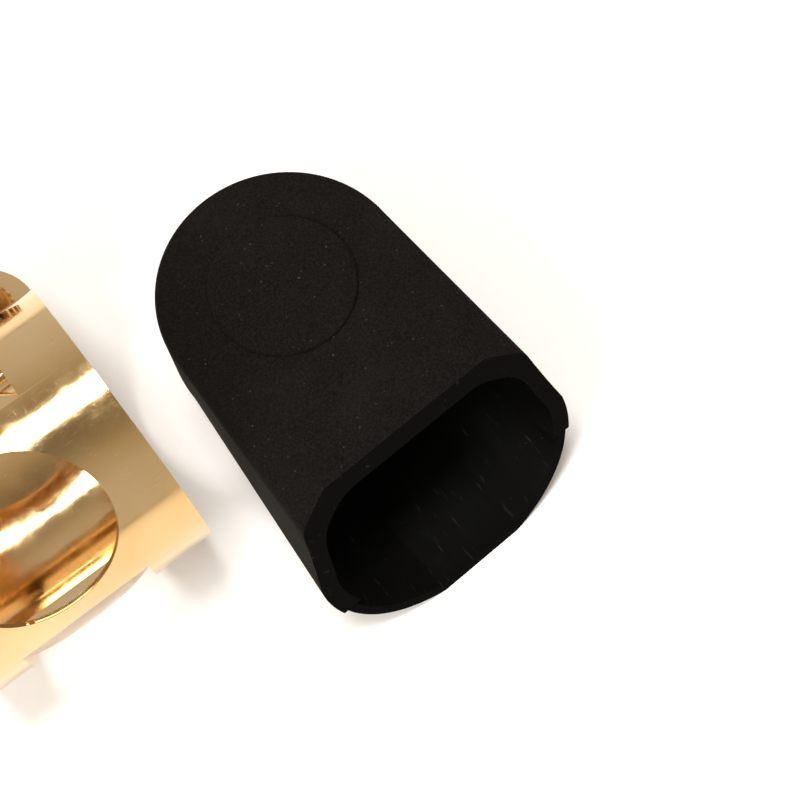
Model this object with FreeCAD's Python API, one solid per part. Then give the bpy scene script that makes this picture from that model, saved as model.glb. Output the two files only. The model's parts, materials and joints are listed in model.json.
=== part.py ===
import FreeCAD, Part
import math
import os

# Ligature for an alto saxophone mouthpiece, with the beak cap that goes with it. Millimetres.
# Origin: centre of the clamping bore. +X runs along the bore towards the reed's tip, +Z is up,
# and both pieces stand on the plane z = -(boreR + sheet).

# band: one strip of sheet, bent round the mouthpiece
boreR = 12.1
sheet = 0.8
bandLength = 24.0
splitTilt = -14.3            # degrees from +Y up to the middle of the split
windowAngle = 141.0          # degrees round from the split to the round window
windowR = 7.15
sideHalf = 6.2               # half a side window's length along the bore
sideArcR = 10.9              # arc that bounds the side windows, concentric with the round one
nearEnd = 105.0              # degrees from the round window to the near side window's lower edge
farEnd = 115.0
sideCornerR = 1.2
gapHalf = 2.4                # half the gap between the two ears
earStand = 7.6               # ears' reach outside the ring; they are as wide as the band
earCornerR = 6.5
foldR = 1.3

# thumbscrews: one in front, one behind
screwStand = 4.4             # screws' axes outside the ring
screwSpacing = 12.4
shankR = 1.5
headR = 4.2
headHeight = 4.6
neckR = 2.7
neckHeight = 1.2
socketDepth = 3.4
fluteCount = 30
fluteR = 0.3
headChamfer = 0.45
dishR = 10.92                # of the sphere that hollows the head's top
dishDepth = 0.35
tipChamfer = 0.45
washerR = 2.9
washerThick = 0.5
bushR = 2.9
bushFlange = 1.0
bushChamfer = 0.3
spigotR = 2.15
postR = 2.5
tipInset = 0.5               # shank's tip behind the post's end
runClear = 0.06              # radial, shank in bush, post and washer
pressClear = 0.01            # radial, spigot in ear and shank in head
seatGap = 0.02               # between faces that bear on each other

# beak cap, in its own frame: u towards the mouth, v across, w up from the top face
discR = 6.5
topMouthU = 16.4             # disc centre to the mouth, along the top face
rimSlope = 0.56              # how far the mouth leans out for each unit down
mouthHeight = 18.0
wedge = 4.0                  # degrees between the top face and the beak facet it rests on
heading = 2.3                # degrees the mouth is turned from -Y towards +X
endTop = (10.9, 0.0)         # half profile round the disc: top edge, shoulder, waist
endShoulder = (11.2, -0.5)
endWaist = (11.35, -7.8)
endDepth = 9.4               # of the round belly below the waist
mouthTop = (8.9, 0.0)        # the same at the mouth
mouthShoulder = (12.2, -2.2)
mouthWaist = (13.75, -8.6)
mouthDepth = 9.6
outerRound = 0.6             # on the corners at top edge and shoulder
innerRound = 2.2
roofWall = 1.7
shellWall = 0.8
shellInset = 0.35            # lower shell inside the roof's outer face
capSplit = -11.9             # seam between roof and lower shell
discProud = 0.35
discPocket = 0.8
discGap = 0.03
capAhead = 17.3              # disc's centre, in front of the band's edge
capY = -0.05

outerR = boreR + sheet
halfLength = bandLength / 2
earReach = outerR + earStand
screwReach = outerR + screwStand
floorZ = -outerR
xAxis = FreeCAD.Vector(1, 0, 0)
origin = FreeCAD.Vector(0, 0, 0)


def cylinder(radius, length, base, axis):
    return Part.makeCylinder(radius, length, FreeCAD.Vector(*base), FreeCAD.Vector(*axis))


def box(low, high):
    size = [b - a for a, b in zip(low, high)]
    return Part.makeBox(*size, FreeCAD.Vector(*low))


def prism(points, direction):
    face = Part.Face(Part.makePolygon([FreeCAD.Vector(*p) for p in points + points[:1]]))
    return face.extrude(FreeCAD.Vector(*direction))


def turned(shape, degrees):
    shape.rotate(origin, xAxis, degrees)
    return shape


def edgesWhere(shape, test):
    return [e for e in shape.Edges if all(test(v.Point) for v in e.Vertexes)]


# The band and everything on its ears are drawn with the split on +Y, then turned by splitTilt.

def ear(side):
    # inner face starts flush with the bore where the gap meets it
    start = math.sqrt(boreR ** 2 - gapHalf ** 2)
    low, high = sorted((side * gapHalf, side * (gapHalf + sheet)))
    plate = box((-halfLength, start, low), (halfLength, earReach, high))
    corners = [e for e in plate.Edges
               if abs(e.CenterOfMass.y - earReach) < 1e-6 and abs(e.CenterOfMass.x) > halfLength - 1e-6]
    return plate.makeFillet(earCornerR, corners)


def foldFillet(side):
    # concave fillet between the ring's outside and the ear's outer face
    height = gapHalf + sheet
    centreZ = height + foldR
    centreY = math.sqrt((outerR + foldR) ** 2 - centreZ ** 2)
    ringShare = (outerR - sheet / 2) / (outerR + foldR)
    inside = height - sheet / 2
    corner = math.sqrt((outerR - sheet / 2) ** 2 - inside ** 2)
    profile = [(-halfLength, centreY, side * centreZ),
               (-halfLength, centreY * ringShare, side * centreZ * ringShare),
               (-halfLength, corner, side * inside),
               (-halfLength, centreY, side * inside)]
    wedgeSolid = prism(profile, (bandLength, 0, 0))
    return wedgeSolid.cut(cylinder(foldR, 2 * bandLength, (-bandLength, centreY, side * centreZ), (1, 0, 0)))


def sideWindow(side, endDegrees):
    # punched square to the round window, so its inner edge is an arc round that window
    lowZ = outerR * math.cos(math.radians(endDegrees))
    low, high = sorted((side * windowR / 2, side * 2 * outerR))
    tool = box((-sideHalf, low, lowZ), (sideHalf, high, 2 * outerR))
    corners = [e for e in tool.Edges
               if abs(e.CenterOfMass.z - lowZ) < 1e-6 and abs(abs(e.CenterOfMass.x) - sideHalf) < 1e-6]
    tool = tool.makeFillet(sideCornerR, corners)
    tool = tool.cut(cylinder(sideArcR, 4 * outerR, (0, 0, -outerR * 2), (0, 0, 1)))
    return turned(tool, windowAngle - 90)


def screwPlaces():
    return {"front": screwSpacing / 2, "rear": -screwSpacing / 2}


def makeBand():
    ring = cylinder(outerR, bandLength, (-halfLength, 0, 0), (1, 0, 0))
    ring = ring.cut(cylinder(boreR, bandLength * 2, (-bandLength, 0, 0), (1, 0, 0)))
    ring = ring.cut(box((-bandLength, 0, -gapHalf), (bandLength, 2 * outerR, gapHalf)))
    ring = ring.multiFuse([ear(1), ear(-1), foldFillet(1), foldFillet(-1)])
    window = cylinder(windowR, 2 * outerR, (0, 0, 0), (0, 0, 1))
    tools = [turned(window, windowAngle - 90), sideWindow(-1, nearEnd), sideWindow(1, farEnd)]
    for x in screwPlaces().values():
        tools.append(cylinder(spigotR + pressClear, 4 * gapHalf, (x, screwReach, -2 * gapHalf), (0, 0, 1)))
    for tool in tools:
        ring = ring.cut(tool)
    ring = ring.removeSplitter()
    bends = edgesWhere(ring, lambda p: abs(abs(p.z) - gapHalf) < 1e-3 and p.y < boreR)
    ring = ring.makeFillet(sheet * 0.9, bends)
    return turned(ring, splitTilt)


# heights along the screws' axes, from the middle of the split
earTop = gapHalf + sheet
bushTop = earTop + bushFlange
washerLow = bushTop + seatGap
headLow = washerLow + washerThick + seatGap
# the posts' lower ends stand on the floor beside the band
tilt = math.radians(splitTilt)
postEnd = (screwReach * math.sin(tilt) - floorZ + postR * math.sin(tilt)) / math.cos(tilt)
tipZ = tipInset - postEnd
headBase = headLow + neckHeight
socketTop = headLow + socketDepth


def makeBush(x):
    bush = cylinder(bushR, bushFlange, (x, screwReach, earTop), (0, 0, 1))
    bush = bush.fuse(cylinder(spigotR, sheet, (x, screwReach, gapHalf), (0, 0, 1)))
    bush = bush.makeChamfer(bushChamfer, edgesWhere(bush, lambda p: p.z > bushTop - 1e-6))
    return bush.cut(cylinder(shankR + runClear, bushTop, (x, screwReach, 0), (0, 0, 1)))


def makePost(x):
    post = cylinder(postR, postEnd - earTop, (x, screwReach, -postEnd), (0, 0, 1))
    post = post.fuse(cylinder(spigotR, sheet, (x, screwReach, -earTop), (0, 0, 1)))
    return post.cut(cylinder(shankR + runClear, postEnd * 2, (x, screwReach, -postEnd * 1.5), (0, 0, 1)))


def makeWasher(x):
    washer = cylinder(washerR, washerThick, (x, screwReach, washerLow), (0, 0, 1))
    return washer.cut(cylinder(shankR + runClear, washerThick * 3, (x, screwReach, washerLow - washerThick),
                               (0, 0, 1)))


def makeShank(x):
    shank = cylinder(shankR, socketTop - seatGap - tipZ, (x, screwReach, tipZ), (0, 0, 1))
    return shank.makeChamfer(tipChamfer, edgesWhere(shank, lambda p: p.z < tipZ + 1e-6))


def makeHead(x):
    head = cylinder(headR, headHeight, (x, screwReach, headBase), (0, 0, 1))
    top = headBase + headHeight
    head = head.makeChamfer(headChamfer, [e for e in head.Edges if e.Curve.TypeId == "Part::GeomCircle"])
    head = head.fuse(cylinder(neckR, neckHeight, (x, screwReach, headLow), (0, 0, 1)))
    for i in range(fluteCount):
        a = 2 * math.pi * i / fluteCount
        place = (x + headR * math.cos(a), screwReach + headR * math.sin(a), headBase - 1)
        head = head.cut(cylinder(fluteR, headHeight + 2, place, (0, 0, 1)))
    head = head.cut(Part.makeSphere(dishR, FreeCAD.Vector(x, screwReach, top + dishR - dishDepth)))
    return head.cut(cylinder(shankR + pressClear, socketDepth, (x, screwReach, headLow), (0, 0, 1)))


def halfSection(u, distance, corner):
    # Half the cap's cross section at u, from the middle of the top round to the middle of the belly.
    # Each corner runs straight from its place beside the disc to its place on the mouth's rim.
    # distance is how far the section stands outside the cap's own, or inside when negative.
    points = [(0, 0)]
    for near, far in ((endTop, mouthTop), (endShoulder, mouthShoulder), (endWaist, mouthWaist)):
        share = u / (topMouthU - rimSlope * far[1])
        points.append(tuple(a + (b - a) * share for a, b in zip(near, far)))
    waistV, waistW = points[-1]
    depth = endDepth + (mouthDepth - endDepth) * share
    middle = (waistW - depth) / 2
    wide = 1 + distance / waistV
    tall = 1 - distance / middle
    points = [FreeCAD.Vector(u, v * wide, middle + (w - middle) * tall) for v, w in points]
    edges = []
    start = points[0]
    for before, here, after in zip(points, points[1:], points[2:]):
        reach = min(corner, (here - before).Length * 0.45, (after - here).Length * 0.45)
        curve = Part.BezierCurve()
        curve.setPoles([here + (before - here).normalize() * reach, here,
                        here + (after - here).normalize() * reach])
        edges += [Part.LineSegment(start, curve.StartPoint).toShape(), curve.toShape()]
        start = curve.EndPoint
    edges.append(Part.LineSegment(start, points[-1]).toShape())
    centre = FreeCAD.Vector(u, 0, points[-1].z)
    lowest = centre - FreeCAD.Vector(0, 0, depth * tall)
    longer, shorter = sorted((points[-1], lowest), key=lambda p: -(p - centre).Length)
    belly = Part.Ellipse(longer, shorter, centre)
    quarter = (0, math.pi / 2) if longer == points[-1] else (-math.pi / 2, 0)
    edges.append(Part.ArcOfEllipse(belly, *quarter).toShape())
    return edges


def section(u, distance, corner):
    half = halfSection(u, distance, corner)
    other = [edge.mirror(origin, FreeCAD.Vector(0, 1, 0)) for edge in half]
    return Part.Wire(Part.__sortEdges__(half + other))


farU = topMouthU + rimSlope * mouthHeight + 4


def beneath(distance):
    # everything under the beak facet
    rise = math.tan(math.radians(wedge))
    mouthU = topMouthU + rimSlope * mouthHeight
    low = -mouthHeight - distance
    points = [(u, -2 * farU, low + (mouthU - u) * rise) for u in (-farU, 2 * farU)]
    points += [(2 * farU, -2 * farU, -3 * farU), (-farU, -2 * farU, -3 * farU)]
    return prism(points, (0, 4 * farU, 0))


def capSolid(distance, corner):
    half = halfSection(0, distance, corner)
    axis = Part.LineSegment(half[-1].Vertexes[-1].Point, half[0].Vertexes[0].Point).toShape()
    # splines throughout, because a turned spline's own surface is misread from STEP
    end = Part.Face(Part.Wire(Part.__sortEdges__(half + [axis])))
    end = end.revolve(origin, FreeCAD.Vector(0, 0, 1), 180).toNurbs()
    ahead = Part.makeLoft([section(u, distance, corner) for u in (0, farU)], True, True)
    return ahead.fuse(end).removeSplitter().cut(beneath(distance))


def placed(shape):
    # stands the cap on its beak facet
    yAxis = FreeCAD.Vector(0, 1, 0)
    shape.rotate(origin, yAxis, -wedge)
    shape.rotate(origin, FreeCAD.Vector(0, 0, 1), heading - 90)
    low = FreeCAD.Vector(topMouthU + rimSlope * mouthHeight, 0, shellInset - mouthHeight)
    foot = FreeCAD.Rotation(yAxis, -wedge).multVec(low)
    shape.translate(FreeCAD.Vector(halfLength + capAhead, capY, floorZ - foot.z))
    return shape


def mouthCut():
    # everything in front of the leaning mouth
    reach = 3 * mouthHeight
    points = [(topMouthU - rimSlope * reach, -reach, reach), (topMouthU + rimSlope * reach, -reach, -reach),
              (topMouthU + 4 * reach, -reach, -reach), (topMouthU + 4 * reach, -reach, reach)]
    return prism(points, (0, 2 * reach, 0))


def above(level):
    return box((-2 * farU, -2 * farU, level), (2 * farU, 2 * farU, mouthHeight))


def below(level):
    return box((-2 * farU, -2 * farU, -2 * mouthHeight), (2 * farU, 2 * farU, level))


def makeRoof():
    roof = capSolid(0, outerRound).common(above(capSplit)).cut(mouthCut())
    roof = roof.cut(capSolid(-roofWall, innerRound))
    roof = roof.cut(cylinder(discR + discGap, discPocket * 2, (0, 0, -discPocket), (0, 0, 1)))
    return placed(roof)


def makeShell():
    shell = capSolid(-shellInset, outerRound).common(below(capSplit - seatGap)).cut(mouthCut())
    return placed(shell.cut(capSolid(-shellInset - shellWall, innerRound)))


def makeDisc():
    disc = cylinder(discR, discPocket - seatGap + discProud, (0, 0, seatGap - discPocket), (0, 0, 1))
    disc = disc.makeFillet(discProud * 0.7, edgesWhere(disc, lambda p: p.z > 0))
    return placed(disc)


parts = {"band": makeBand(), "cap_roof": makeRoof(), "cap_shell": makeShell(), "cap_disc": makeDisc()}
for end, x in screwPlaces().items():
    for name, make in (("guide_bush", makeBush), ("threaded_post", makePost), ("washer", makeWasher),
                       ("screw_shank", makeShank), ("screw_head", makeHead)):
        parts[f"{end}_{name}"] = turned(make(x), splitTilt)

os.makedirs("parts", exist_ok=True)
for node, shape in parts.items():
    shape.exportStep(f"parts/{node}.step")
    size = shape.optimalBoundingBox()
    print(f"{node}: {len(shape.Solids)} solid, {shape.Volume:.1f} mm3, valid {shape.isValid()},",
          f"x {size.XMin:.2f}..{size.XMax:.2f} y {size.YMin:.2f}..{size.YMax:.2f} z {size.ZMin:.2f}..{size.ZMax:.2f}")
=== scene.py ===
import bpy
import json
import math
from mathutils import Matrix, Vector

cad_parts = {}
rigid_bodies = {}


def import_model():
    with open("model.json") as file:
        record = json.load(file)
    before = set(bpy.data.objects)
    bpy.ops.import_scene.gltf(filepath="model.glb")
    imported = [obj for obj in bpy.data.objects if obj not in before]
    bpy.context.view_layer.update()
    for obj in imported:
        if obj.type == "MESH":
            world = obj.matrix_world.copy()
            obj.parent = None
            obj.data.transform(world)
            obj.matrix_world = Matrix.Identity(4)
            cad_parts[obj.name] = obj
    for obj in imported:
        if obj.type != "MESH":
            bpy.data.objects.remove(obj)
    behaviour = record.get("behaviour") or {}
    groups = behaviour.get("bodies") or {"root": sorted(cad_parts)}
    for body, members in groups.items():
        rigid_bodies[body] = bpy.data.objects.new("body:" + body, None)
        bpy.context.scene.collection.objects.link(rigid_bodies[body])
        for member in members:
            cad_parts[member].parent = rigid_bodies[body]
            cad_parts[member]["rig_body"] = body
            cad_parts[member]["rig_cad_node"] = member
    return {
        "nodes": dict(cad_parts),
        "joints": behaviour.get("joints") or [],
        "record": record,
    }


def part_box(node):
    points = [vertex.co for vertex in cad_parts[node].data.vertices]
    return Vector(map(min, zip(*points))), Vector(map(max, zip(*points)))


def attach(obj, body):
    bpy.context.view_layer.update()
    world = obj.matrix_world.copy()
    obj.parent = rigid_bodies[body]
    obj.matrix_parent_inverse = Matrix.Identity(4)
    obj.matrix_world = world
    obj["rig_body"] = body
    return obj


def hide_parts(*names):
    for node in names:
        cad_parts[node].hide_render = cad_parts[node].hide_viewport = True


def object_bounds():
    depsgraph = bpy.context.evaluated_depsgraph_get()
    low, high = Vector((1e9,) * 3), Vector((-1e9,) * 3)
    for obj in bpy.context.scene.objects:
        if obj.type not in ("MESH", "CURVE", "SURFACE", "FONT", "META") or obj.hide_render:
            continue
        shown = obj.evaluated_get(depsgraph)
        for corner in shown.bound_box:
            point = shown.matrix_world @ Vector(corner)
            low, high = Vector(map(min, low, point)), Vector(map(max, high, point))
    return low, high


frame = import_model()
cadBox = [list(corner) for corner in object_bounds()]

mm = 0.001
same = 1e-6                                        # two places nearer than this are one
nodes = frame["nodes"]

bandLow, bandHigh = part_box("band")
outerR = -bandLow.z
sheet = 0.8 * mm
boreR = outerR - sheet
halfLength = bandHigh.x
joints = {j["name"]: j for j in frame["joints"]}
screwAxis = Vector(joints["front_screw_turn"]["axis"])
splitTilt = math.atan2(-screwAxis.y, screwAxis.z)
screwSpots = {end: Vector(joints[end + "_screw_turn"]["pos_m"]) for end in ("front", "rear")}
turnBack = Matrix.Rotation(-splitTilt, 4, "X")
turnUp = Matrix.Rotation(splitTilt, 4, "X")


def cadLevels(node):
    # a node's lowest and highest points along the screws, measured from the bore's axis
    heights = [screwAxis.dot(v.co) for v in nodes[node].data.vertices]
    return min(heights), max(heights)


def clearSelection():
    if bpy.context.object and bpy.context.object.mode != "OBJECT":
        bpy.ops.object.mode_set(mode="OBJECT")
    bpy.ops.object.select_all(action="DESELECT")


def pick(obj):
    clearSelection()
    obj.select_set(True)
    bpy.context.view_layer.objects.active = obj


def named(name):
    obj = bpy.context.object
    obj.name = name
    obj.data.name = name
    return obj


def settle(obj):
    # puts the piece's place into its mesh
    pick(obj)
    bpy.ops.object.transform_apply(location=True, rotation=True, scale=True)
    return obj


def modify(obj, kind, **settings):
    pick(obj)
    mod = obj.modifiers.new(kind.title(), kind)
    for key, value in settings.items():
        setattr(mod, key, value)
    bpy.ops.object.modifier_apply(modifier=mod.name)
    return obj


def carve(obj, cutter, operation="DIFFERENCE"):
    modify(obj, "BOOLEAN", object=cutter, operation=operation, solver="EXACT")
    bpy.data.objects.remove(cutter)
    return obj


def editAll(obj):
    pick(obj)
    bpy.ops.object.mode_set(mode="EDIT")
    bpy.ops.mesh.select_all(action="SELECT")


def tidyMesh(obj, merge=0.002 * mm):
    editAll(obj)
    bpy.ops.mesh.remove_doubles(threshold=merge)
    bpy.ops.mesh.normals_make_consistent(inside=False)
    bpy.ops.object.mode_set(mode="OBJECT")
    return obj


def selectEdges(obj, test):
    # goes into edit mode with the edges selected whose middle passes the test
    bpy.ops.object.mode_set(mode="OBJECT")
    for part in (obj.data.vertices, obj.data.edges, obj.data.polygons):
        part.foreach_set("select", [False] * len(part))
    for e in obj.data.edges:
        a, b = (obj.data.vertices[i].co for i in e.vertices)
        e.select = test((a + b) / 2)
    bpy.ops.object.mode_set(mode="EDIT")
    bpy.ops.mesh.select_mode(type="EDGE")


def soften(obj, width, segments, degrees, smooth=None):
    # eases edges sharper than degrees; smooth is the widest angle shaded round, if it isn't the same
    modify(obj, "BEVEL", width=width, segments=segments, limit_method="ANGLE",
           angle_limit=math.radians(degrees))
    pick(obj)
    bpy.ops.object.shade_smooth_by_angle(angle=math.radians(smooth or degrees))
    return obj


def toPoint():
    # shrinks the new plane to one vertex, ready to extrude an outline from
    bpy.ops.object.mode_set(mode="EDIT")
    bpy.ops.mesh.select_mode(type="VERT")
    bpy.ops.mesh.select_all(action="SELECT")
    bpy.ops.mesh.merge(type="CENTER")


def lathe(name, outline, steps=96):
    # a turned piece on the Z axis through the origin; outline is (radius, height) points
    clearSelection()
    bpy.ops.mesh.primitive_plane_add(size=mm)
    obj = named(name)
    toPoint()
    radius, height = outline[0]
    bpy.ops.transform.translate(value=(radius, 0, height))
    for (r0, z0), (r1, z1) in zip(outline, outline[1:]):
        bpy.ops.mesh.extrude_region_move(TRANSFORM_OT_translate={"value": (r1 - r0, 0, z1 - z0)})
    bpy.ops.mesh.select_all(action="SELECT")
    bpy.ops.mesh.spin(steps=steps, angle=2 * math.pi, center=(0, 0, 0), axis=(0, 0, 1))
    bpy.ops.mesh.select_all(action="SELECT")
    bpy.ops.mesh.remove_doubles(threshold=0.001 * mm)
    bpy.ops.mesh.normals_make_consistent(inside=False)
    bpy.ops.object.mode_set(mode="OBJECT")
    return obj


def rounded(points, radius, steps=4):
    # rounds the corners of a closed (radius, height) outline and closes it
    path = []
    for i, here in enumerate(points):
        here = Vector(here)
        before, after = Vector(points[i - 1]), Vector(points[(i + 1) % len(points)])
        reach = min(radius, (before - here).length * 0.45, (after - here).length * 0.45)
        start = here + (before - here).normalized() * reach
        end = here + (after - here).normalized() * reach
        for k in range(steps + 1):
            t = k / steps
            path.append(tuple((1 - t) ** 2 * start + 2 * t * (1 - t) * here + t ** 2 * end))
    return path + path[:1]


bandShape = {
    "gapHalf": 2.4 * mm, "earReach": 20.5 * mm, "earCorner": 6.5 * mm, "fold": 1.3 * mm,
    "windowAngle": math.radians(141), "windowR": 7.15 * mm,
    "sideHalf": 6.2 * mm, "sideArc": 10.9 * mm, "nearEnd": math.radians(105), "farEnd": math.radians(115),
    "sideCorner": 1.2 * mm, "holeR": 2.16 * mm, "edge": 0.1 * mm,
    "ringSteps": 600, "foldSteps": 14, "cornerSteps": 24, "windowSteps": 256, "holeSteps": 96,
    "slack": 0.0005 * mm,                          # points nearer than this are one
}


def block(name, low, high):
    clearSelection()
    size = [b - a for a, b in zip(low, high)]
    middle = [(a + b) / 2 for a, b in zip(low, high)]
    bpy.ops.mesh.primitive_cube_add(size=1, location=middle)
    bpy.context.object.scale = size
    return settle(named(name))


def rod(name, radius, length, middle, steps=128):
    clearSelection()
    bpy.ops.mesh.primitive_cylinder_add(vertices=steps, radius=radius, depth=length, location=middle)
    return settle(named(name))


def bevelEdges(obj, test, radius, segments=10):
    selectEdges(obj, test)
    bpy.ops.mesh.bevel(offset=radius, segments=segments, affect="EDGES")
    bpy.ops.object.mode_set(mode="OBJECT")


def windowTurn(obj):
    obj.data.transform(Matrix.Rotation(bandShape["windowAngle"] - math.pi / 2, 4, "X"))
    return obj


def sideCutter(side, end):
    b = bandShape
    low = outerR * math.cos(end)
    ys = sorted((side * b["windowR"] / 2, side * 2 * outerR))
    cutter = block("cutter", (-b["sideHalf"], ys[0], low), (b["sideHalf"], ys[1], 2 * outerR))
    bevelEdges(cutter, lambda p: abs(p.z - low) < same and abs(abs(p.x) - b["sideHalf"]) < same,
               b["sideCorner"])
    carve(cutter, rod("plate", b["sideArc"], 6 * outerR, (0, 0, 0), b["windowSteps"]))
    return windowTurn(cutter)


def makeBand():
    b = bandShape
    face = b["gapHalf"] + sheet                    # the ear's outer face
    foldZ = face + b["fold"]
    foldY = math.sqrt((outerR + b["fold"]) ** 2 - foldZ ** 2)
    start = math.atan2(foldZ, foldY)
    clearSelection()
    bpy.ops.mesh.primitive_plane_add(size=1, location=(0, (foldY + b["earReach"]) / 2, face))
    bpy.context.object.scale = (2 * halfLength, b["earReach"] - foldY, 1)
    band = settle(named("gold_band"))
    selectEdges(band, lambda p: abs(p.y - foldY) < same)
    bends = ((b["foldSteps"], math.pi / 2 - start, (0, foldY, foldZ)),
             (b["ringSteps"], -2 * (math.pi - start), (0, 0, 0)),
             (b["foldSteps"], math.pi / 2 - start, (0, foldY, -foldZ)))
    for steps, angle, centre in bends:
        bpy.ops.mesh.spin(steps=steps, angle=angle, center=centre, axis=(1, 0, 0))
    bpy.ops.mesh.extrude_region_move(TRANSFORM_OT_translate={"value": (0, b["earReach"] - foldY, 0)})
    tidyMesh(band, b["slack"])
    modify(band, "SOLIDIFY", thickness=sheet, offset=-1)
    if max(v.co.z for v in band.data.vertices) > outerR + 0.1 * mm:
        raise RuntimeError("the band's wall went outwards")
    bevelEdges(band, lambda p: abs(p.y - b["earReach"]) < same and abs(abs(p.x) - halfLength) < same,
               b["earCorner"], b["cornerSteps"])
    window = rod("window", b["windowR"], 2 * outerR, (0, 0, outerR), b["windowSteps"])
    carve(band, windowTurn(window))
    carve(band, sideCutter(-1, b["nearEnd"]))
    carve(band, sideCutter(1, b["farEnd"]))
    for spot in screwSpots.values():
        place = turnBack @ spot
        through = 4 * (b["gapHalf"] + sheet)
        carve(band, rod("hole", b["holeR"], through, (place.x, place.y, 0), b["holeSteps"]))
    soften(band, b["edge"], 3, 35, 12)
    editAll(band)
    bpy.ops.mesh.dissolve_degenerate(threshold=b["slack"])
    bpy.ops.object.mode_set(mode="OBJECT")
    band.data.transform(turnUp)
    return band


screwShape = {
    "shankR": 1.5 * mm, "pitch": 0.6 * mm, "threadDepth": 0.3 * mm, "bore": 1.56 * mm, "spigotR": 2.15 * mm,
    "headR": 4.2 * mm, "neckR": 2.7 * mm, "neckHeight": 1.2 * mm, "flutes": 30, "fluteR": 0.3 * mm,
    "dish": 0.35 * mm, "lip": 0.75 * mm, "chamfer": 0.45 * mm, "washerR": 2.9 * mm, "bushR": 2.9 * mm,
    "postR": 2.5 * mm, "round": 0.12 * mm, "plainHalf": 0.5 * mm,
    "headSteps": 180, "headEdge": 0.07 * mm, "tip": 0.5 * mm, "tipShare": 0.72, "postChamfer": 0.3 * mm,
    "bushGroove": (0.18 * mm, 0.14 * mm), "postGroove": (0.2 * mm, 0.15 * mm),    # depth, half width
    "firstGroove": 1.3 * mm, "grooveStep": 0.9 * mm, "grooves": 2, "turnedEdge": 0.05 * mm,
}


def standUp(obj, spot):
    # from the turning axis to the piece's place on its ear
    place = turnBack @ spot
    obj.data.transform(turnUp @ Matrix.Translation((place.x, place.y, 0)))
    pick(obj)
    bpy.ops.object.shade_smooth_by_angle(angle=math.radians(35))
    return obj


def makeHead(end):
    s = screwShape
    low, high = cadLevels(end + "_screw_head")
    base = low + s["neckHeight"]
    lip = s["headR"] - s["lip"]
    outline = [(0, low), (s["neckR"], low), (s["neckR"], base)]
    outline += [(s["headR"] - s["chamfer"], base), (s["headR"], base + s["chamfer"])]
    outline += [(s["headR"], high - s["chamfer"]), (s["headR"] - s["chamfer"], high), (lip, high)]
    outline += [(lip * (1 - k / 8), high - s["dish"] * (1 - (1 - k / 8) ** 2)) for k in range(1, 9)]
    head = lathe(end + "_thumb_head", outline, s["headSteps"])
    cutters = []
    for i in range(s["flutes"]):
        a = 2 * math.pi * i / s["flutes"]
        spot = (s["headR"] * math.cos(a), s["headR"] * math.sin(a), (base + high) / 2)
        cutters.append(rod("flute", s["fluteR"], high - base + 2 * mm, spot, 16))
    clearSelection()
    for cutter in cutters:
        cutter.select_set(True)
    bpy.ops.object.join()
    carve(head, bpy.context.object)
    return soften(standUp(head, screwSpots[end]), s["headEdge"], 2, 28)


def makeShank(end):
    s = screwShape
    low, high = cadLevels(end + "_screw_shank")
    clearSelection()
    bpy.ops.mesh.primitive_plane_add(size=mm)
    thread = named("thread")
    toPoint()
    inner = s["shankR"] - s["threadDepth"]
    bpy.ops.transform.translate(value=(inner, 0, low - s["pitch"]))
    crest, root = s["pitch"] * 0.12, s["pitch"] * 0.14    # the thread's two flats
    flank = (s["pitch"] - crest - root) / 2
    for r, z in ((0, root), (s["threadDepth"], flank), (0, crest), (-s["threadDepth"], flank)):
        bpy.ops.mesh.extrude_region_move(TRANSFORM_OT_translate={"value": (r, 0, z)})
    bpy.ops.object.mode_set(mode="OBJECT")
    turns = int((0.2 * mm - low) / s["pitch"]) + 2
    modify(thread, "SCREW", axis="Z", angle=2 * math.pi, screw_offset=s["pitch"], iterations=turns,
           steps=40, render_steps=40, use_merge_vertices=True, merge_threshold=0.001 * mm)
    tidyMesh(thread, 0.001 * mm)
    editAll(thread)
    bpy.ops.mesh.fill_holes(sides=0)
    bpy.ops.mesh.normals_make_consistent(inside=False)
    bpy.ops.object.mode_set(mode="OBJECT")
    top = s["plainHalf"]
    around = s["shankR"] * 1.05
    outline = [(0, low), (s["shankR"] * s["tipShare"], low), (around, low + s["tip"])]
    outline += [(around, top), (0, top)]
    blank = lathe(end + "_screw_shank_threaded", outline, 64)
    carve(blank, thread, "INTERSECT")
    plain = lathe("plain", [(0, top - 0.05 * mm), (s["shankR"] - 0.1 * mm, top - 0.05 * mm),
                            (s["shankR"], top + 0.1 * mm), (s["shankR"], high), (0, high)], 64)
    carve(blank, plain, "UNION")
    return standUp(blank, screwSpots[end])


def makeWasher(end):
    s = screwShape
    low, high = cadLevels(end + "_washer")
    corners = [(s["bore"], low), (s["washerR"], low), (s["washerR"], high), (s["bore"], high)]
    return standUp(lathe(end + "_polished_washer", rounded(corners, s["round"])), screwSpots[end])


def makeBush(end):
    s = screwShape
    low, high = cadLevels(end + "_guide_bush")
    face = bandShape["gapHalf"] + sheet
    depth, half = s["bushGroove"]
    middle = (face + high) / 2
    outline = [(s["bore"], low), (s["spigotR"], low), (s["spigotR"], face), (s["bushR"], face),
               (s["bushR"], middle - half), (s["bushR"] - depth, middle), (s["bushR"], middle + half),
               (s["bushR"], high - 0.1 * mm), (s["bushR"] - 0.25 * mm, high), (s["bore"], high)]
    return standUp(lathe(end + "_flanged_bush", rounded(outline, s["turnedEdge"], 3)), screwSpots[end])


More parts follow.
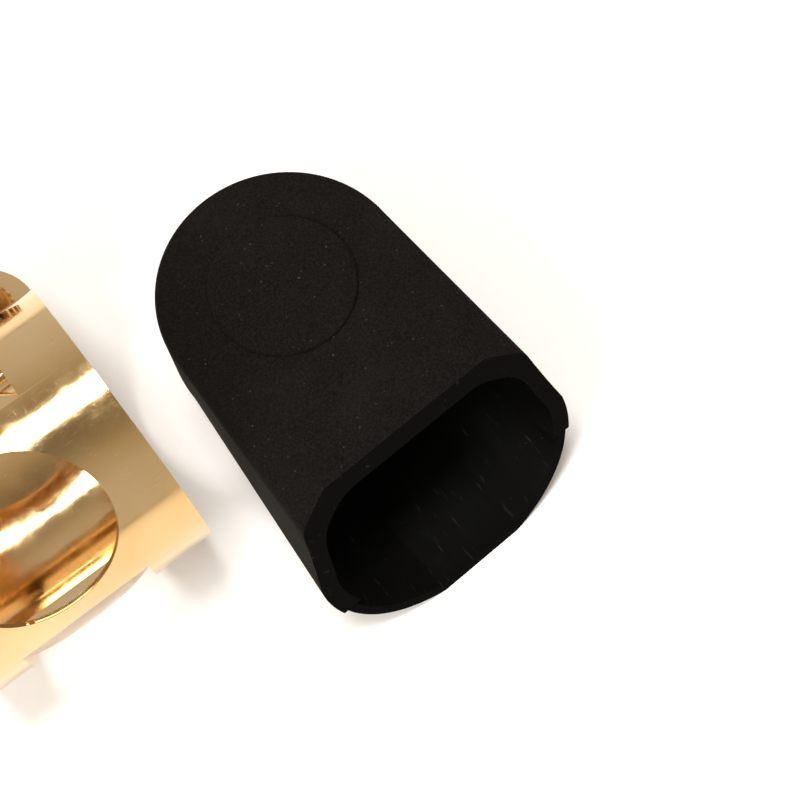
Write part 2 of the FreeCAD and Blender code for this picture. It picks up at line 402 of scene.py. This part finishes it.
def makePost(end):
    s = screwShape
    low, high = cadLevels(end + "_threaded_post")
    face = -bandShape["gapHalf"] - sheet
    chamfer = s["postChamfer"]
    outline = [(s["bore"], low + chamfer), (s["bore"] + chamfer, low), (s["postR"] - chamfer, low),
               (s["postR"], low + chamfer)]
    depth, half = s["postGroove"]
    for k in range(s["grooves"]):
        z = low + s["firstGroove"] + s["grooveStep"] * k
        outline += [(s["postR"], z), (s["postR"] - depth, z + half), (s["postR"], z + 2 * half)]
    outline += [(s["postR"], face), (s["spigotR"], face), (s["spigotR"], high), (s["bore"], high)]
    return standUp(lathe(end + "_barrel_post", rounded(outline, s["turnedEdge"], 3)), screwSpots[end])


capShape = {
    "edge": 0.3 * mm, "rim": 0.16 * mm, "discEdge": 0.25 * mm, "welded": 0.001 * mm, "flat": 0.4,
    # which faces count as inside: cosines of how they face, and places measured from the disc's centre
    "inwards": -0.15, "rimFacing": 0.56, "rimFrom": 12 * mm, "underFacing": -0.6, "underFrom": -8 * mm,
}


def softCopy(node, name, width, degrees):
    # the CAD piece's own shape, welded and with its edges eased
    clearSelection()
    copy = nodes[node].copy()
    copy.data = nodes[node].data.copy()
    copy.data.materials.clear()
    bpy.context.scene.collection.objects.link(copy)
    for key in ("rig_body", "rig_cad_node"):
        del copy[key]
    copy.parent = None
    copy.name = name
    tidyMesh(copy, capShape["welded"])
    editAll(copy)
    bpy.ops.mesh.dissolve_limited(angle_limit=math.radians(capShape["flat"]))
    bpy.ops.object.mode_set(mode="OBJECT")
    return soften(copy, width, 3, degrees)


def capFrame():
    # the disc's centre, the way up through its flat top, and the way the mouth faces
    data = nodes["cap_disc"].data
    top = max((f for f in data.polygons), key=lambda f: f.normal.z * f.area)
    corners = [v.co for v in data.vertices]
    centre = sum(corners, Vector()) / len(corners)
    low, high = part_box("cap_roof")
    up = top.normal.normalized()
    mouth = Vector(((low.x + high.x) / 2, low.y, centre.z)) - centre
    mouth = (mouth - up * mouth.dot(up)).normalized()
    return centre, up, mouth


def paintInside(piece):
    # the second material goes on the cut rim and on every face that looks inwards
    c = capShape
    centre, up, mouth = capFrame()
    for face in piece.data.polygons:
        place = face.center - centre
        out = place - mouth * max(place.dot(mouth), 0) - up * place.dot(up) * 0.5
        inward = face.normal.dot(out.normalized()) < c["inwards"]
        rim = face.normal.dot(mouth) > c["rimFacing"] and place.dot(mouth) > c["rimFrom"]
        under = face.normal.dot(up) < c["underFacing"] and place.dot(up) > c["underFrom"]
        face.material_index = int(inward or rim or under)


class Wire:
    # one output of a material's nodes, used in sums as if it were a number
    def __init__(self, tree, socket=None):
        self.tree = tree
        self.socket = socket

    def node(self, kind, settings, inputs, output=0):
        made = self.tree.nodes.new("ShaderNode" + kind)
        for key, value in settings.items():
            if key == "stops":
                ramp = made.color_ramp.elements
                while len(ramp) < len(value):
                    ramp.new(0.5)
                for stop, (place, colour) in zip(ramp, value):
                    stop.position, stop.color = place, (*colour, 1)
            else:
                setattr(made, key, value)
        for key, value in inputs.items():
            if isinstance(value, Wire):
                self.tree.links.new(value.socket, made.inputs[key])
            else:
                made.inputs[key].default_value = value
        return Wire(self.tree, made.outputs[output])

    def maths(self, operation, *values):
        return self.node("Math", {"operation": operation}, dict(enumerate((self,) + values)))

    def __add__(self, other):
        return self.maths("ADD", other)

    def __sub__(self, other):
        return self.maths("SUBTRACT", other)

    def __rsub__(self, other):
        return self * -1 + other

    def __mul__(self, other):
        return self.maths("MULTIPLY", other)

    __radd__ = __add__
    __rmul__ = __mul__

    def fade(self, start, end, low=0.0, high=1.0):
        # low below start, high above end, smooth between
        return self.node("MapRange", {"interpolation_type": "SMOOTHSTEP"},
                         {"Value": self, "From Min": start, "From Max": end, "To Min": low, "To Max": high})

    def blend(self, first, second):
        return self.node("Mix", {"data_type": "RGBA"}, {0: self, 6: first, 7: second}, 2)

    def stretched(self, x, y, z):
        return self.node("VectorMath", {"operation": "MULTIPLY"}, {0: self, 1: (x, y, z)})

    def noise(self, scale, detail=2.0, rough=0.5):
        inputs = {"Vector": self, "Scale": scale, "Detail": detail, "Roughness": rough}
        return self.node("TexNoise", {}, inputs, "Fac")

    def cells(self, scale, output="Distance"):
        return self.node("TexVoronoi", {}, {"Vector": self, "Scale": scale}, output)

    def bump(self, depth, strength=1.0):
        return self.node("Bump", {}, {"Height": self, "Distance": depth, "Strength": strength})


def newFinish(name, **fixed):
    # a material with its constant values set, and the place on the object to draw patterns from
    material = bpy.data.materials.new(name)
    material.use_nodes = True
    shader = material.node_tree.nodes["Principled BSDF"]
    for key, value in fixed.items():
        shader.inputs[key.replace("_", " ")].default_value = value
    start = Wire(material.node_tree)
    return material, shader, start.node("TexCoord", {}, {}, "Object")


def wire(material, shader, **varying):
    for key, value in varying.items():
        material.node_tree.links.new(value.socket, shader.inputs[key.replace("_", " ")])
    return material


goldLook = {
    # the third colour is painted shade, laid into recesses round the bores, in the thread's roots and in the
    # flutes
    "bright": (0.74, 0.52, 0.27, 1), "deep": (0.66, 0.43, 0.19, 1), "recessShade": (0.3, 0.17, 0.07, 1),
    "hazeSize": 260, "scratchSize": 900, "toolMarks": 7500, "depth": 0.004 * mm,
}


def scratches(place, along, size):
    # short fine lines, long in one direction and thin in the others
    x, y, z = (1 if axis == along else 30 for axis in "xyz")
    return place.stretched(x, y, z).noise(size, 1.0).fade(0.68, 0.76)


def mirrorGold():
    g = goldLook
    material, shader, place = newFinish("mirror_gold_plate", Metallic=1.0, Coat_Roughness=0.05)
    haze = place.noise(g["hazeSize"], 4.0, 0.6)
    clouds = place.noise(g["hazeSize"] * 0.3, 2.0)
    lines = (scratches(place, "x", g["scratchSize"]) + scratches(place, "y", g["scratchSize"] * 0.7)
             + scratches(place, "z", g["scratchSize"] * 0.8))
    colour = clouds.fade(0.3, 0.75).blend(g["bright"], g["deep"])
    colour = (lines * 0.25).blend(colour, (1.0, 0.8, 0.5, 1))
    rough = haze.fade(0.35, 0.75, 0.08, 0.2) + lines * 0.1
    return wire(material, shader, Base_Color=colour, Roughness=rough,
                Coat_Weight=haze.fade(0.3, 0.7, 0.1, 0.3), Normal=(lines * -1).bump(g["depth"] * 0.12, 0.3))


def shearedGold():
    # the cut edges of the sheet, with drag lines from the punch
    g = goldLook
    material, shader, place = newFinish("sheared_gold_edge", Metallic=1.0)
    drag = place.stretched(1, 3, 3).noise(g["toolMarks"], 3.0)
    stain = place.noise(g["hazeSize"] * 3, 3.0)
    colour = stain.fade(0.4, 0.8).blend(g["bright"], g["deep"])
    return wire(material, shader, Base_Color=colour, Roughness=drag.fade(0.3, 0.7, 0.14, 0.32),
                Normal=drag.bump(g["depth"] * 2))


def fromScrew(place, end):
    # distance from the screw's axis, and height along it
    spot = turnBack @ screwSpots[end]
    local = place.node("Mapping", {}, {"Vector": place, "Location": (-spot.x, -spot.y, 0),
                                       "Rotation": (-splitTilt, 0, 0)})
    flat = local.stretched(1, 1, 0)
    radius = flat.node("VectorMath", {"operation": "LENGTH"}, {0: flat}, "Value")
    return radius, local.node("SeparateXYZ", {}, {"Vector": local}, "Z")


def toolRings(radius, height):
    # fine rings left by the turning tool
    return radius.node("CombineXYZ", {}, {"X": radius, "Y": height}).noise(goldLook["toolMarks"], 2.0)


def turnedGold(end):
    g = goldLook
    material, shader, place = newFinish(end + "_turned_gold_plate", Metallic=1.0)
    radius, height = fromScrew(place, end)
    rings = toolRings(radius, height)
    stain = place.noise(g["hazeSize"] * 2.5, 4.0)
    recessShade = radius.fade(1.5 * mm, 1.9 * mm, 0.75, 0.0) * stain.fade(0.3, 0.6)   # painted shade round the bore, broken up by blotches
    colour = recessShade.blend(stain.fade(0.4, 0.8).blend(g["bright"], g["deep"]), g["recessShade"])
    rough = rings.fade(0.3, 0.7, 0.12, 0.26) + recessShade * 0.3
    return wire(material, shader, Base_Color=colour, Roughness=rough, Normal=rings.bump(g["depth"] * 2))


def threadedGold(end):
    g = goldLook
    material, shader, place = newFinish(end + "_rolled_thread_gold", Metallic=1.0)
    radius = fromScrew(place, end)[0]
    grain = place.noise(g["hazeSize"] * 12, 4.0, 0.65)
    root = radius.fade(1.22 * mm, 1.4 * mm, 0.9, 0.0) * grain.fade(0.2, 0.55)    # painted shade in the thread's roots, broken up by the grain
    colour = root.blend(grain.fade(0.35, 0.8).blend(g["bright"], g["deep"]), g["recessShade"])
    rough = grain.fade(0.3, 0.7, 0.2, 0.34) + root * 0.25
    return wire(material, shader, Base_Color=colour, Roughness=rough, Normal=grain.bump(g["depth"] * 3))


def knurledGold(end):
    g = goldLook
    s = screwShape
    high = cadLevels(end + "_screw_head")[1]
    material, shader, place = newFinish(end + "_fluted_grip_gold", Metallic=1.0)
    radius, height = fromScrew(place, end)
    rings = toolRings(radius, height)
    stain = place.noise(g["hazeSize"] * 2.5, 4.0)
    valley = s["headR"] - s["fluteR"]
    side = height.fade(high - s["chamfer"], high - s["chamfer"] * 1.4)
    recessShade = radius.fade(valley, s["headR"] - 0.05 * mm, 0.6, 0.0) * side       # painted shade in the flutes
    colour = recessShade.blend(stain.fade(0.4, 0.8).blend(g["bright"], g["deep"]), g["recessShade"])
    rough = rings.fade(0.3, 0.7, 0.09, 0.22) + recessShade * 0.25
    return wire(material, shader, Base_Color=colour, Roughness=rough, Normal=rings.bump(g["depth"] * 1.6))


rubberLook = {
    "velvet": (0.0045, 0.0038, 0.0033, 1), "velvetLight": (0.0125, 0.0105, 0.0088, 1),
    # the grey after satin is dust colour and also paints highlight streaks on the satin rubber
    "lint": (0.12, 0.105, 0.09, 1), "satin": (0.0026, 0.0025, 0.0023, 1), "dustAndHighlightGrey": (0.03, 0.0285, 0.026, 1),
    "grain": 5200, "speckle": 2300, "fibre": 420, "depth": 0.02 * mm,
}


def velvetRubber():
    r = rubberLook
    material, shader, place = newFinish("velvet_touch_rubber", Sheen_Weight=0.02, Sheen_Roughness=0.5,
                                        Sheen_Tint=(1.0, 0.9, 0.8, 1), Specular_IOR_Level=0.03)
    grain = place.noise(r["grain"], 3.0, 0.7)
    worn = place.noise(r["fibre"] * 0.5, 3.0)
    size = place.noise(r["fibre"] * 2.0, 1.0).fade(0.3, 0.75, 0.04, 0.3)
    dots = (size - place.cells(r["speckle"])).fade(0.0, 0.1)
    speck = dots * place.cells(r["speckle"], "Color").fade(0.55, 0.95)
    fibres = (place.stretched(1, 7, 7).noise(r["fibre"] * 3, 2.0).fade(0.72, 0.78)
              + place.stretched(6, 1, 6).noise(r["fibre"] * 3.4, 2.0).fade(0.73, 0.79))
    colour = (grain.fade(0.35, 0.72) * 0.7 + worn.fade(0.45, 0.8) * 0.3).blend(r["velvet"], r["velvetLight"])
    colour = (speck * 0.28 + fibres * 0.12).blend(colour, r["lint"])
    height = grain + speck + fibres
    return wire(material, shader, Base_Color=colour, Roughness=grain.fade(0.3, 0.7, 0.95, 0.78),
                Normal=height.bump(r["depth"], 0.6))


def satinRubber():
    r = rubberLook
    material, shader, place = newFinish("satin_moulded_rubber", Specular_IOR_Level=0.012)
    bloom = place.stretched(1, 0.35, 1).noise(r["fibre"], 5.0, 0.65)
    grain = place.noise(r["grain"] * 0.5, 2.0)
    # these streaks are partly dust and partly painted highlight
    streaksOfDustAndHighlight = place.stretched(5, 0.8, 5).noise(r["fibre"], 3.0, 0.6).fade(0.62, 0.85)
    coarse = r["speckle"] * 0.6
    speck = place.cells(coarse).fade(0.12, 0.06) * place.cells(coarse, "Color").fade(0.75, 0.9)
    # bloom and specks are dust; the streaks are dust and painted highlight together
    dustAndHighlightAmount = bloom.fade(0.55, 0.85) * 0.08 + streaksOfDustAndHighlight * 0.7 + speck * 0.5
    return wire(material, shader, Base_Color=dustAndHighlightAmount.blend(r["satin"], r["dustAndHighlightGrey"]),
                Roughness=bloom.fade(0.3, 0.75, 0.42, 0.6),
                Normal=(grain + bloom * 2).bump(r["depth"], 0.35))


def whiteCard():
    material, shader, place = newFinish("matt_white_card", Specular_IOR_Level=0.2)
    fibre = place.noise(900, 4.0, 0.6)
    return wire(material, shader, Base_Color=fibre.blend((0.93, 0.905, 0.88, 1), (0.96, 0.94, 0.92, 1)),
                Roughness=fibre.fade(0.2, 0.8, 0.7, 0.9))


studio = {
    "middle": (10 * mm, -6 * mm, 0), "floorSize": 3, "room": 0.8,
    # name, place from the middle, size, watts
    "lights": [("key_softbox", (-0.01, 0.085, 0.46), (0.2, 0.12), 1.7),
               ("side_softbox", (-0.34, -0.06, 0.3), (0.14, 0.2), 1.4)],
    # what the metal sees round it: the height of the direction, and how bright the room is there
    "walls": [(0.0, (0.95, 0.92, 0.88)), (0.55, (0.85, 0.82, 0.78)), (0.8, (0.7, 0.62, 0.5)),
              (0.95, (0.4, 0.35, 0.27)), (1.0, (0.3, 0.26, 0.2))],
}


def makeStudio():
    clearSelection()
    bpy.ops.mesh.primitive_plane_add(size=studio["floorSize"], location=(0, 0, cadBox[0][2]))
    floor = settle(named("pale_floor"))
    floor.data.materials.append(whiteCard())
    for name, place, size, power in studio["lights"]:
        clearSelection()
        bpy.ops.object.light_add(type="AREA", location=Vector(studio["middle"]) + Vector(place))
        lamp = bpy.context.object
        lamp.name = name
        lamp.rotation_euler = (-Vector(place)).to_track_quat("-Z", "Y").to_euler()
        lamp.data.shape = "RECTANGLE"
        lamp.data.size, lamp.data.size_y = size
        lamp.data.energy = power
    world = bpy.data.worlds.new("room")
    bpy.context.scene.world = world
    world.use_nodes = True
    tree = world.node_tree
    way = Wire(tree).node("TexCoord", {}, {}, "Generated")
    height = way.node("SeparateXYZ", {}, {"Vector": way}, "Z")
    walls = height.node("ValToRGB", {"stops": studio["walls"]}, {"Fac": height})
    tree.links.new(walls.socket, tree.nodes["Background"].inputs["Color"])
    tree.nodes["Background"].inputs["Strength"].default_value = studio["room"]
    bpy.context.scene.view_settings.view_transform = "Standard"


view = {"elevation": 74.0, "azimuth": -37.7, "lens": 67.5, "target": (12 * mm, 0, 0),
        "shift": (-23.8 * mm, 1.1 * mm, 128.7 * mm)}


def makeCamera():
    a, e = math.radians(view["azimuth"]), math.radians(view["elevation"])
    back = Vector((math.sin(a) * math.cos(e), -math.cos(a) * math.cos(e), math.sin(e)))
    right = Vector((math.cos(a), math.sin(a), 0))
    up = back.cross(right)
    across, down, away = view["shift"]
    clearSelection()
    bpy.ops.object.camera_add(location=Vector(view["target"]) - right * across + up * down + back * away)
    camera = bpy.context.object
    camera.name = "camera"
    camera.rotation_euler = Matrix((right, up, back)).transposed().to_euler()
    camera.data.lens = view["lens"]
    camera.data.sensor_width = 36
    camera.data.clip_start, camera.data.clip_end = 0.005, 10
    bpy.context.scene.camera = camera


def paintCutEdges(band):
    # the second material goes on the sheet's thickness, seen at its rims and round its windows
    across, small = 0.55, 4e-8                     # cosine to the sheet's own facing, and square metres
    for face in band.data.polygons:
        middle = turnBack @ face.center
        normal = turnBack @ face.normal
        out = Vector((0, middle.y, middle.z)).normalized()
        if middle.y > boreR:
            out = Vector((0, 0, 1))
        face.material_index = int(abs(normal.dot(out)) < across and face.area < small)


def fit(piece, node, slot, *materials):
    body = next(b for b, members in frame["record"]["behaviour"]["bodies"].items() if node in members)
    for material in materials:
        piece.data.materials.append(material)
    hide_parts(node)
    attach(piece, body)


print("band")
band = makeBand()
fit(band, "band", "polished_gold", mirrorGold(), shearedGold())
paintCutEdges(band)
for end in ("front", "rear"):
    print(end, "screw")
    turned = turnedGold(end)
    fit(makeHead(end), end + "_screw_head", "knurled_gold", knurledGold(end))
    fit(makeShank(end), end + "_screw_shank", "threaded_gold", threadedGold(end))
    fit(makeWasher(end), end + "_washer", "turned_gold", turned)
    fit(makeBush(end), end + "_guide_bush", "turned_gold", turned)
    fit(makePost(end), end + "_threaded_post", "turned_gold", turned)
print("cap")
velvet, satin = velvetRubber(), satinRubber()
roof = softCopy("cap_roof", "cap_upper", capShape["edge"], 14)
fit(roof, "cap_roof", "matte_black_rubber", velvet, satin)
paintInside(roof)
fit(softCopy("cap_shell", "cap_lower", capShape["rim"], 14), "cap_shell", "smooth_black_rubber", satin)
fit(softCopy("cap_disc", "cap_badge", capShape["discEdge"], 30), "cap_disc", "matte_black_rubber", velvet)
print("studio")
makeStudio()
makeCamera()
